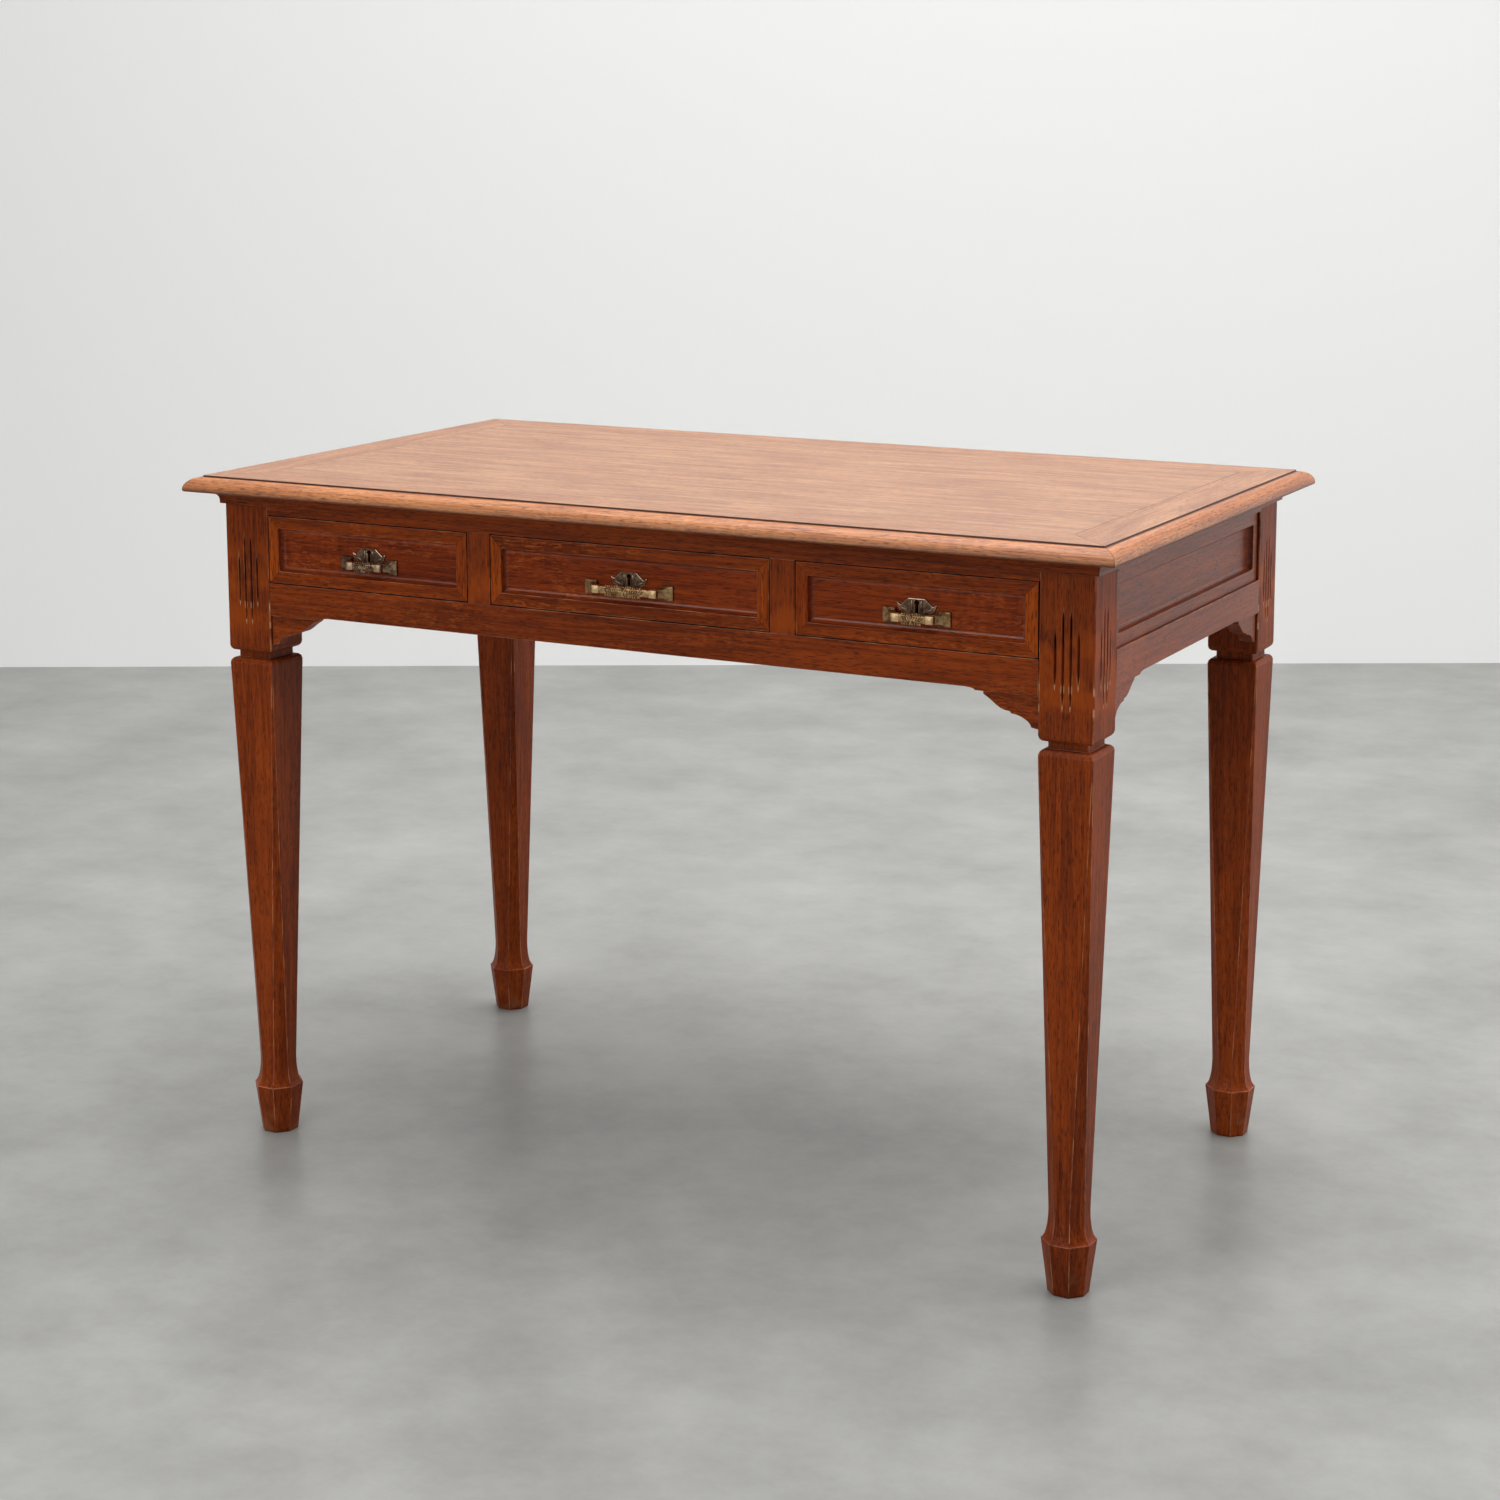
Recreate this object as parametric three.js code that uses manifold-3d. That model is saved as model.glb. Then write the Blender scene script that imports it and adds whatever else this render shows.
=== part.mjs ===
// Writing desk with three drawers in the frieze, in stained oak with cast brass fittings.
// Millimetres, +Z up, the drawers face -Y, the origin is on the floor under the middle of the top.

import * as THREE from 'three';
import { mergeVertices } from 'three/addons/utils/BufferGeometryUtils.js';
import { ConvexGeometry } from 'three/addons/geometries/ConvexGeometry.js';
import Module from 'manifold-3d';

const wasm = await Module();
wasm.setup();

// ---------------------------------------------------------------- driving dimensions

const LENGTH = 1106; // over the nosing of the top, along X
const DEPTH = 629; // over the nosing of the top, along Y
const HEIGHT = 770; // floor to top surface

const TOP_THICKNESS = 17.5;
const END_OVERHANG = 32.2; // nosing past the leg blocks at the two ends
const FRONT_OVERHANG = 36; // nosing past the leg blocks at the front and the back
const BORDER_WIDTH = 67.5; // mitred border boards round the field, nosing included
const NOSE_REACH = 17.2; // thumbnail nosing, outward from its step
const NOSE_STEP = 1.6; // small drop from the top surface to the nosing
const NOSE_UNDER = 2.4; // round below the nosing's widest line; the quarter ellipse fills the rest
const MITRE_GAP = 0.3;
const JOINT_GAP = 0.3; // between glued pieces that would otherwise share a cut face
const CUT_SPARE = 1; // how far a cut is carried past the face it opens
const CURVE_STEPS = 6; // flats along one curve of an outline

const BED_REACH = 11; // cove moulding under the top, out from the leg blocks
const BED_FOOT_REACH = 4.5;
const BED_HEIGHT = 15;
const BED_FILLET = 3.5;

const BLOCK = 58.2; // square leg block
const BLOCK_TAIL = 5.2; // the block reaches this much lower than the front brackets
const BLOCK_ARRIS = 0.8; // softened corner of the block
const NECK_ROUND = 6.2; // quarter rounds above and below the neck
const NECK_INSET = 7.7;
const NECK_HEIGHT = 7.6; // straight part between the two quarter rounds
const SHANK_TOP = 58.2; // tapered shank, square at the top
const ANKLE = 39; // octagon across flats where the shank ends
const FLARE_HEIGHT = 31.2;
const SHOULDER = 52.6; // spade foot across flats at its shoulder
const FOOT_HEIGHT = 55.8;
const FOOT_BOTTOM = 39;

const SLIT_WIDTH = 3.2; // V cuts carved in the outer faces of the blocks
const SLIT_DEPTH = 3;
const SLIT_PROUD = 0.5; // the cutter's widest line stands this far off the face
const SLIT_TAPER = 12; // run-out to a point at each end
const SLIT_RISE = 78.5; // middle of the cuts above the bottom of the block
const SLITS = [
  { offset: -12.2, length: 61 },
  { offset: -4.1, length: 102 },
  { offset: 4.1, length: 102 },
  { offset: 12.2, length: 61 },
];

const TOP_RAIL_HEIGHT = 25;
const DRAWER_OPENING = 77;
const LOWER_RAIL_HEIGHT = 37.1; // at the ends, where the brackets sit
const RAIL_RISE = 2.9; // the middle of the lower rail is cut up by this much
const RAIL_END = 67; // length of the deeper end of the lower rail
const RAIL_SWEEP = 12; // the curve from the deeper end to the middle
const RAIL_THICKNESS = 22;
const DIVIDER_WIDTH = 28.5;
const DIVIDER_DEPTH = 50;
const CENTRE_OPENING = 337.5;

const SIDE_RISE = 4.5; // side panels and side rails sit this much higher than the front ones
const PANEL_SETBACK = 3.5; // side panels behind the faces of the blocks
const BACK_SETBACK = 4;
const BACK_THICKNESS = 18;

const BRACKET_LENGTH = 59;
const BRACKET_HEIGHT = 33;
const BRACKET_THICKNESS = 16;
const BRACKET_SETBACK = 3;
const BRACKET_FOOT = 8; // toe beside the leg
const BRACKET_FOOT_RISE = 1.3;
const BRACKET_WAIST = 29.5; // from the leg to the fillet between its two curves
const BRACKET_WAIST_DROP = 19.8;
const BRACKET_FILLET = 2.2;
const BRACKET_TIP = 3; // wood left at the thin end
const BRACKET_BEND = 0.45; // share of each curve that its handles reach over

const FRONT_THICKNESS = 22; // drawer front
const DRAWER_GAP = 1; // round each drawer front
const SIDE_GAP = 1.5; // beside the drawer sides
const RUNNER_GAP = 0.3; // under the drawer sides
const REAR_SPACE = 55; // behind the closed drawers
const FRAME_WIDTH = 13.5; // raised margin of a drawer front or side panel
const MOULD_WIDTH = 4.5;
const MOULD_STEP = 1.2;
const RECESS_DEPTH = 7;
const SIDE_THICKNESS = 10;
const SIDE_CLEAR = 14.7; // drawer sides lower than their opening
const BACK_DROP = 5; // drawer back lower than the sides
const BOTTOM_THICKNESS = 5;
const BOTTOM_RISE = 7; // underside of the bottom board above the lower edge of the sides
const GROOVE_DEPTH = 5;
const TAIL_LENGTH = 12; // dovetails of the sides into the front
const TAIL_COUNT = 2;
const TAIL_END = 21; // height of a tail at its end
const TAIL_ROOT = 16;

const RUNNER_HEIGHT = 20;
const RUNNER_SHELF = 18; // width of runner under a drawer side
const GUIDE_RISE = 18;

const PULL_LENGTH = 74; // over the foot plates
const PULL_BOSS = 21; // length of the ornamented middle
const CENTRE_PULL_LENGTH = 106;
const CENTRE_PULL_BOSS = 44;
const PULL_PLATE_WIDTH = 14;
const PULL_PLATE_HEIGHT = 16;
const PULL_PLATE_THICKNESS = 2;
const PULL_NECK = 8; // square post where it meets the bar
const PULL_LEAN = 10; // the posts lean in from their plates to the ends of the bar
const PULL_STANDOFF = 8; // from the recessed face to the back of the bar
const PULL_BAR_HEIGHT = 7.6;
const PULL_BAR_DEPTH = 5;
const PULL_BAR_TRIM = 1;
const PULL_BOSS_HEIGHT = 12.6;
const PULL_BOSS_DEPTH = 8.5;
const PULL_BOSS_TRIM = 2.4;
const PULL_BOSS_EASE = 1.5; // half the length over which the bar swells to the boss
const PULL_FLARE = 1.5; // plate wider than the foot of the post, each side
const PULL_DROP = 9.3; // middle of the bar below the middle of the drawer front

const ESCUTCHEON_WIDTH = 44;
const ESCUTCHEON_HEIGHT = 19;
const ESCUTCHEON_THICKNESS = 1.6;
const KEYHOLE_RADIUS = 2.8;
const KEYHOLE_SLOT = 3.4;
const KEYHOLE_LENGTH = 13.4;
const KEYHOLE_RISE = 1.1; // middle of the keyhole above the middle of its plate

const LOCK_WIDTH = 42;
const LOCK_DEPTH = 8; // let into the back of the drawer front
const LOCK_DROP = 46; // lower edge of the lock below the upper edge of the drawer front
const LOCK_FIT = 0.3;
const BOLT_WIDTH = 14;
const BOLT_DEPTH = 4;
const BOLT_HEIGHT = 16;
const BOLT_TRAVEL = 5;
const BOLT_FIT = 0.4;
const STRIKE_FIT = 1; // round the raised bolt in the top rail

// ---------------------------------------------------------------- planes worked out from them

const blockX = LENGTH / 2 - END_OVERHANG; // outer faces of the leg blocks
const blockY = DEPTH / 2 - FRONT_OVERHANG;
const innerX = blockX - BLOCK;
const innerY = blockY - BLOCK;
const frameTop = HEIGHT - TOP_THICKNESS;
const openingTop = frameTop - TOP_RAIL_HEIGHT;
const openingBottom = openingTop - DRAWER_OPENING;
const blockBottom = openingBottom - LOWER_RAIL_HEIGHT - BRACKET_HEIGHT - BLOCK_TAIL;
const dividerInner = CENTRE_OPENING / 2;
const dividerOuter = dividerInner + DIVIDER_WIDTH;
const railBack = -blockY + RAIL_THICKNESS;
const backOuter = blockY - BACK_SETBACK;
const backInner = backOuter - BACK_THICKNESS;
const sideInner = blockX - RAIL_THICKNESS;
const runnerBottom = openingBottom - RUNNER_HEIGHT;
const drawerBack = backInner - REAR_SPACE;

// ---------------------------------------------------------------- materials

const finish = (color, roughness, metalness) => new THREE.MeshStandardMaterial({
  color, roughness, metalness, flatShading: true,
});
const oak = (color) => finish(color, 0.45, 0);
const cast = (color) => finish(color, 0.42, 1);
const OAK_TOP = '#b98566';
const OAK_NOSING = '#b0714a';
const OAK_FRAME = '#6f3a22';
const OAK_FRONT = '#713820';
const OAK_INSIDE = '#a98458';
const BRASS = '#9c7f4c';
const BRONZE = '#5d4a37';
const LOCK_BRASS = '#a98f55';

// ---------------------------------------------------------------- shape helpers

// Box between six planes, so that neighbours share exactly the same numbers.
function block(x0, x1, y0, y1, z0, z1) {
  const geometry = new THREE.BoxGeometry(1, 1, 1);
  const position = geometry.attributes.position;
  for (let i = 0; i < position.count; i += 1) {
    position.setXYZ(
      i,
      position.getX(i) < 0 ? x0 : x1,
      position.getY(i) < 0 ? y0 : y1,
      position.getZ(i) < 0 ? z0 : z1,
    );
  }
  return geometry;
}

// Moves every vertex with a function of (x, y, z).
function remap(geometry, place) {
  const position = geometry.attributes.position;
  for (let i = 0; i < position.count; i += 1) {
    position.setXYZ(i, ...place(position.getX(i), position.getY(i), position.getZ(i)));
  }
  return geometry;
}

// Mirrors a geometry and turns its triangles round again, so that the faces still point out.
function mirrored(geometry, place) {
  const flat = geometry.index ? geometry.toNonIndexed() : geometry.clone();
  const position = flat.attributes.position;
  const corner = [];
  for (let i = 0; i < position.count; i += 3) {
    for (let k = 0; k < 3; k += 1) {
      corner[k] = place(position.getX(i + k), position.getY(i + k), position.getZ(i + k));
    }
    position.setXYZ(i, ...corner[0]);
    position.setXYZ(i + 1, ...corner[2]);
    position.setXYZ(i + 2, ...corner[1]);
  }
  return flat;
}

const mirrorX = (geometry) => mirrored(geometry, (x, y, z) => [-x, y, z]);
const mirrorY = (geometry) => mirrored(geometry, (x, y, z) => [x, -y, z]);
const quarterTurn = (geometry) => remap(geometry.clone(), (x, y, z) => [-y, x, z]);

// Flat outline in (across, height) pushed along the third axis from one plane to another.
function extrude(shape, from, to, place) {
  const geometry = new THREE.ExtrudeGeometry(shape, {
    depth: 1, bevelEnabled: false, curveSegments: CURVE_STEPS,
  });
  return remap(geometry, (u, v, w) => place(u, v, w < 0.5 ? from : to));
}
const alongY = (shape, y0, y1) => extrude(shape, y1, y0, (u, v, w) => [u, w, v]);
const alongX = (shape, x0, x1) => extrude(shape, x0, x1, (u, v, w) => [w, u, v]);

// Closed skin through rings of points that all have the same count, with flat ends.
function loft(rings) {
  const count = rings[0].length;
  const vertices = rings.flat();
  const faces = [];
  for (let r = 0; r + 1 < rings.length; r += 1) {
    for (let i = 0; i < count; i += 1) {
      const a = r * count + i;
      const b = r * count + ((i + 1) % count);
      faces.push(a, b, b + count, a, b + count, a + count);
    }
  }
  const last = (rings.length - 1) * count;
  for (let i = 1; i + 1 < count; i += 1) {
    faces.push(0, i + 1, i);
    faces.push(last, last + i, last + i + 1);
  }
  const geometry = new THREE.BufferGeometry();
  geometry.setAttribute('position', new THREE.Float32BufferAttribute(vertices.flat(), 3));
  geometry.setIndex(faces);
  return geometry;
}

function toSolid(geometry) {
  const bare = geometry.clone();
  bare.deleteAttribute('normal');
  bare.deleteAttribute('uv');
  const merged = mergeVertices(bare);
  return new wasm.Manifold(new wasm.Mesh({
    numProp: 3,
    vertProperties: new Float32Array(merged.attributes.position.array),
    triVerts: new Uint32Array(merged.index.array),
  }));
}

function toGeometry(solid) {
  const mesh = solid.getMesh();
  const geometry = new THREE.BufferGeometry();
  geometry.setAttribute('position', new THREE.BufferAttribute(new Float32Array(mesh.vertProperties), 3));
  geometry.setIndex(new THREE.BufferAttribute(new Uint32Array(mesh.triVerts), 1));
  return geometry;
}

const cut = (base, tools) => toGeometry(
  tools.reduce((rest, tool) => rest.subtract(toSolid(tool)), toSolid(base)),
);
const join = (pieces) => toGeometry(pieces.map(toSolid).reduce((whole, piece) => whole.add(piece)));

function polygon(points) {
  return new THREE.Shape(points.map(([u, v]) => new THREE.Vector2(u, v)));
}

// Points on a quarter ellipse round (cu, cv), from angle0 to angle1 in quarter turns.
function arcPoints(cu, cv, ru, rv, angle0, angle1, steps) {
  return Array.from({ length: steps + 1 }, (_, i) => {
    const angle = (angle0 + (angle1 - angle0) * (i / steps)) * (Math.PI / 2);
    return [cu + ru * Math.cos(angle), cv + rv * Math.sin(angle)];
  });
}

// Bar with mitred ends: the outline is (distance in from the outer line, height).
function mitredBar(outline, length, outer) {
  return extrude(polygon(outline), -1, 1, (u, v, w) => [w * (length / 2 - u - MITRE_GAP), -(outer - u), v]);
}

// Four mitred bars round a rectangle; front, back, left and right.
function mitredFrame(outline, length, depth) {
  const front = mitredBar(outline, length, depth / 2);
  const left = quarterTurn(mitredBar(outline, depth, length / 2));
  return { front, back: mirrorY(front), left: mirrorX(left), right: left };
}

// ---------------------------------------------------------------- top

function borderOutline() {
  const noseTop = HEIGHT - NOSE_STEP;
  const widest = frameTop + NOSE_UNDER;
  return [
    [BORDER_WIDTH, frameTop],
    [BORDER_WIDTH, HEIGHT],
    [NOSE_REACH, HEIGHT],
    ...arcPoints(NOSE_REACH, widest, NOSE_REACH, noseTop - widest, 1, 2, 7),
    ...arcPoints(NOSE_UNDER, widest, NOSE_UNDER, NOSE_UNDER, 2, 3, 3).slice(1),
  ].reverse();
}

function topField() {
  const x = LENGTH / 2 - BORDER_WIDTH - JOINT_GAP;
  const y = DEPTH / 2 - BORDER_WIDTH - JOINT_GAP;
  return block(-x, x, -y, y, frameTop, HEIGHT);
}

// Cove moulding with a fillet at the top and at the foot.
function bedOutline() {
  const bottom = frameTop - BED_HEIGHT;
  const coveTop = frameTop - BED_FILLET;
  const coveFoot = bottom + BED_FILLET;
  const reach = BED_REACH - BED_FOOT_REACH;
  return [
    [BED_REACH, bottom],
    [BED_REACH, frameTop],
    [0, frameTop],
    ...arcPoints(0, coveFoot, reach, coveTop - coveFoot, 1, 0, 4),
    [reach, bottom],
  ].reverse();
}

// ---------------------------------------------------------------- legs

// Square of half width h with its corners cut off by c.
function chamferedSquare(h, c, z) {
  const k = h - c;
  return [[h, -k], [h, k], [k, h], [-k, h], [-h, k], [-h, -k], [-k, -h], [k, -h]].map(([x, y]) => [x, y, z]);
}

function octagon(across, z) {
  const h = across / 2;
  return chamferedSquare(h, h * (2 - Math.SQRT2), z);
}

// Carved V cut that runs out to a point at both ends, sunk into the face at x = face.
function slit(face, along, middle, length) {
  const half = SLIT_WIDTH / 2;
  const reach = length / 2;
  const straight = reach - SLIT_TAPER;
  const proud = face + SLIT_PROUD;
  const points = [];
  for (const side of [-1, 1]) {
    points.push(new THREE.Vector3(face - SLIT_DEPTH, along, middle + side * straight));
    points.push(new THREE.Vector3(proud, along, middle + side * reach));
    points.push(new THREE.Vector3(proud, along - half, middle + side * straight));
    points.push(new THREE.Vector3(proud, along + half, middle + side * straight));
  }
  return new ConvexGeometry(points);
}

// Leg for the +X +Y corner, cut on its two outer faces.
function legShape() {
  const half = BLOCK / 2;
  const shankTop = blockBottom - 2 * NECK_ROUND - NECK_HEIGHT;
  const shank = SHANK_TOP / 2;
  const ankleZ = FOOT_HEIGHT + FLARE_HEIGHT;
  const rings = [octagon(FOOT_BOTTOM, 0)];
  for (const [across, z] of arcPoints(SHOULDER, ankleZ, ANKLE - SHOULDER, FLARE_HEIGHT, -1, 0, 6)) {
    rings.push(octagon(across, z));
  }
  for (const [h, z] of arcPoints(shank - NECK_ROUND, shankTop, NECK_ROUND, NECK_ROUND, 0, 1, 3)) {
    rings.push(chamferedSquare(h, BLOCK_ARRIS, z));
  }
  const neck = half - NECK_INSET;
  rings.push(chamferedSquare(neck, BLOCK_ARRIS, shankTop + NECK_ROUND));
  rings.push(chamferedSquare(neck, BLOCK_ARRIS, blockBottom - NECK_ROUND));
  for (const [h, z] of arcPoints(half - NECK_ROUND, blockBottom, NECK_ROUND, NECK_ROUND, -1, 0, 3)) {
    rings.push(chamferedSquare(h, BLOCK_ARRIS, z));
  }
  rings.push(chamferedSquare(half, BLOCK_ARRIS, frameTop));
  const cuts = [];
  for (const { offset, length } of SLITS) {
    const onEnd = slit(half, offset, blockBottom + SLIT_RISE, length);
    cuts.push(onEnd, quarterTurn(onEnd));
  }
  const outside = Math.fround(half);
  const centreX = (blockX + innerX) / 2;
  const centreY = (blockY + innerY) / 2;
  return remap(cut(loft(rings), cuts), (x, y, z) => [
    Math.abs(x) === outside ? (x > 0 ? blockX : innerX) : centreX + x,
    Math.abs(y) === outside ? (y > 0 ? blockY : innerY) : centreY + y,
    z,
  ]);
}

// ---------------------------------------------------------------- frieze

// Rail with a deeper end next to each leg; a short curve leads up to the middle of its lower edge.
function lowerRailOutline(half, top) {
  const end = top - LOWER_RAIL_HEIGHT;
  const turn = half - RAIL_END;
  const curve = arcPoints(turn - RAIL_SWEEP, end, RAIL_SWEEP, RAIL_RISE, 0, 1, 3);
  const right = [[half, top], [half, end], ...curve];
  const left = right.map(([u, v]) => [-u, v]).reverse();
  return polygon([...right, ...left].reverse());
}

// Closed solid through concentric rectangles; each level is [inset, y].
function steppedRectangle([x0, x1, z0, z1], levels) {
  return loft(levels.map(([inset, y]) => [
    [x0 + inset, y, z0 + inset],
    [x0 + inset, y, z1 - inset],
    [x1 - inset, y, z1 - inset],
    [x1 - inset, y, z0 + inset],
  ]));
}

// Sunk field with a moulded edge, entered from the face at y = face and going towards +Y.
function recess(bounds, face) {
  const quarter = arcPoints(FRAME_WIDTH + MOULD_WIDTH, MOULD_STEP,
    MOULD_WIDTH, RECESS_DEPTH - MOULD_STEP, 2, 1, 4);
  const levels = [
    [FRAME_WIDTH, -CUT_SPARE],
    [FRAME_WIDTH, MOULD_STEP],
    ...quarter.slice(1),
  ];
  return steppedRectangle(bounds, levels.map(([inset, depth]) => [inset, face + depth]));
}

// Stepped bracket outline from the leg to the tip: toe, cove, fillet and round.
function bracketOutline() {
  const toe = BRACKET_FOOT_RISE - BRACKET_HEIGHT;
  const cove = BRACKET_BEND * (BRACKET_WAIST - BRACKET_FOOT);
  const rise = BRACKET_BEND * (BRACKET_HEIGHT - BRACKET_FOOT_RISE - BRACKET_WAIST_DROP);
  const roundFrom = BRACKET_WAIST + BRACKET_FILLET / 2;
  const roundDrop = BRACKET_WAIST_DROP - BRACKET_FILLET;
  const run = BRACKET_BEND * (BRACKET_LENGTH - roundFrom);
  const climb = BRACKET_BEND * (roundDrop - BRACKET_TIP);
  const shape = new THREE.Shape();
  shape.moveTo(0, 0);
  shape.lineTo(0, -BRACKET_HEIGHT);
  shape.lineTo(BRACKET_FOOT, toe);
  shape.bezierCurveTo(BRACKET_FOOT, toe + rise, BRACKET_WAIST - cove, -BRACKET_WAIST_DROP,
    BRACKET_WAIST, -BRACKET_WAIST_DROP);
  shape.lineTo(roundFrom, -roundDrop);
  shape.bezierCurveTo(roundFrom + run, -roundDrop, BRACKET_LENGTH - run, -BRACKET_TIP - climb,
    BRACKET_LENGTH, -BRACKET_TIP);
  shape.lineTo(BRACKET_LENGTH, 0);
  shape.lineTo(0, 0);
  return shape;
}

// Bracket beside the +X front leg, under the lower rail.
function frontBracket() {
  const joint = openingBottom - LOWER_RAIL_HEIGHT - JOINT_GAP;
  const front = -blockY + BRACKET_SETBACK;
  return extrude(bracketOutline(), front, front + BRACKET_THICKNESS,
    (u, v, w) => [innerX - JOINT_GAP - u, w, joint + v]);
}

// Bracket beside the +Y leg on the +X side.
function sideBracket() {
  const joint = openingBottom + SIDE_RISE - LOWER_RAIL_HEIGHT - JOINT_GAP;
  const face = blockX - BRACKET_SETBACK;
  return extrude(bracketOutline(), face, face - BRACKET_THICKNESS,
    (u, v, w) => [w, innerY - JOINT_GAP - u, joint + v]);
}

function frontTopRail() {
  const rail = block(-innerX, innerX, -blockY, railBack, openingTop, frameTop);
  return cut(rail, drawers.map(strikeHole));
}

function frontLowerRail() {
  return alongY(lowerRailOutline(innerX, openingBottom), -blockY, railBack);
}

function sideRail() {
  const top = openingBottom + SIDE_RISE;
  return alongX(lowerRailOutline(innerY, top), sideInner, blockX);
}

// Side board: flush behind the cove moulding, set back and sunk to a panel below it.
function sidePanel() {
  const bottom = openingBottom + SIDE_RISE;
  const step = frameTop - TOP_RAIL_HEIGHT + SIDE_RISE;
  const face = blockX - PANEL_SETBACK;
  const board = join([
    block(sideInner, face, -innerY, innerY, bottom, step),
    block(sideInner, blockX, -innerY, innerY, step, frameTop),
  ]);
  const sunk = recess([-innerY, innerY, bottom, step], -face);
  return cut(board, [quarterTurn(sunk)]);
}

function backPanel() {
  return block(-innerX, innerX, backInner, backOuter, openingBottom - LOWER_RAIL_HEIGHT, frameTop);
}

function divider() {
  return block(dividerInner, dividerOuter, -blockY, -blockY + DIVIDER_DEPTH, openingBottom, openingTop);
}

// Runner between two drawers, with a rib that guides both.
function middleRunner() {
  const rib = SIDE_GAP;
  return join([
    block(dividerInner - RUNNER_SHELF, dividerOuter + RUNNER_SHELF, railBack, backInner,
      runnerBottom, openingBottom),
    block(dividerInner + rib, dividerOuter - rib, -blockY + DIVIDER_DEPTH, backInner,
      openingBottom, openingBottom + GUIDE_RISE),
  ]);
}

// Runner along the side board, with a guide that fills the space beside the drawer.
function outerRunner() {
  return join([
    block(innerX - RUNNER_SHELF, sideInner, -innerY, innerY, runnerBottom, openingBottom),
    block(innerX, sideInner, -innerY, innerY, openingBottom, openingBottom + GUIDE_RISE),
  ]);
}

// ---------------------------------------------------------------- drawers

// A drawer is known by the two planes of its opening and the lengths of its pull and of the boss on it.
const drawers = [
  { name: 'left', x0: -innerX, x1: -dividerOuter, pull: PULL_LENGTH, boss: PULL_BOSS },
  { name: 'centre', x0: -dividerInner, x1: dividerInner, pull: CENTRE_PULL_LENGTH, boss: CENTRE_PULL_BOSS },
  { name: 'right', x0: dividerOuter, x1: innerX, pull: PULL_LENGTH, boss: PULL_BOSS },
];
const frontBottom = openingBottom + DRAWER_GAP;
const frontTop = openingTop - DRAWER_GAP;
const frontBack = -blockY + FRONT_THICKNESS;
const recessFace = -blockY + RECESS_DEPTH;
const sideBottom = openingBottom + RUNNER_GAP;
const sideTop = openingTop - SIDE_CLEAR;
const grooveBottom = sideBottom + BOTTOM_RISE;
const panelMiddle = (openingBottom + openingTop) / 2;
const keyholeZ = panelMiddle + KEYHOLE_RISE;
const pullZ = panelMiddle - PULL_DROP;
const middleX = (drawer) => (drawer.x0 + drawer.x1) / 2;

// Two tails at the front end of a drawer side, grown by a clearance.
function tailOutlines(grow) {
  const pitch = (sideTop - sideBottom) / TAIL_COUNT;
  return Array.from({ length: TAIL_COUNT }, (_, i) => {
    const middle = sideBottom + pitch * (i + 0.5);
    const end = TAIL_END / 2 + grow;
    const root = TAIL_ROOT / 2 + grow;
    return [
      [frontBack, middle + root],
      [frontBack - TAIL_LENGTH - grow, middle + end],
      [frontBack - TAIL_LENGTH - grow, middle - end],
      [frontBack, middle - root],
    ];
  });
}

// Keyhole: a round eye over a straight slot, about the middle of the escutcheon.
function keyholeShape() {
  const eye = KEYHOLE_LENGTH / 2 - KEYHOLE_RADIUS;
  const half = KEYHOLE_SLOT / 2;
  const start = -Math.acos(half / KEYHOLE_RADIUS);
  const steps = 2 * CURVE_STEPS;
  const points = [[-half, -KEYHOLE_LENGTH / 2], [half, -KEYHOLE_LENGTH / 2]];
  for (let i = 0; i <= steps; i += 1) {
    const angle = start + (i / steps) * (Math.PI - 2 * start);
    points.push([KEYHOLE_RADIUS * Math.cos(angle), eye + KEYHOLE_RADIUS * Math.sin(angle)]);
  }
  return polygon(points);
}

function keyholeCutter(drawer, y0, y1) {
  return extrude(keyholeShape(), y1, y0, (u, v, w) => [middleX(drawer) + u, w, keyholeZ + v]);
}

function lockBounds(drawer, grow) {
  const half = LOCK_WIDTH / 2 + grow;
  return [middleX(drawer) - half, middleX(drawer) + half, frontTop - LOCK_DROP - grow];
}

function drawerFront(drawer) {
  const x0 = drawer.x0 + DRAWER_GAP;
  const x1 = drawer.x1 - DRAWER_GAP;
  const [lock0, lock1, lockZ] = lockBounds(drawer, LOCK_FIT);
  const tools = [
    recess([x0, x1, frontBottom, frontTop], -blockY),
    keyholeCutter(drawer, -blockY, frontBack),
    block(lock0, lock1, frontBack - LOCK_DEPTH - LOCK_FIT, frontBack + CUT_SPARE,
      lockZ, frontTop + CUT_SPARE),
  ];
  for (const outline of tailOutlines(JOINT_GAP)) {
    const open = outline.map(([y, z]) => [y === frontBack ? y + CUT_SPARE : y, z]);
    const depth = SIDE_THICKNESS + SIDE_GAP + JOINT_GAP;
    tools.push(alongX(polygon(open), drawer.x0 - CUT_SPARE, drawer.x0 + depth));
    tools.push(alongX(polygon(open), drawer.x1 - depth, drawer.x1 + CUT_SPARE));
  }
  return cut(block(x0, x1, -blockY, frontBack, frontBottom, frontTop), tools);
}

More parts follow.
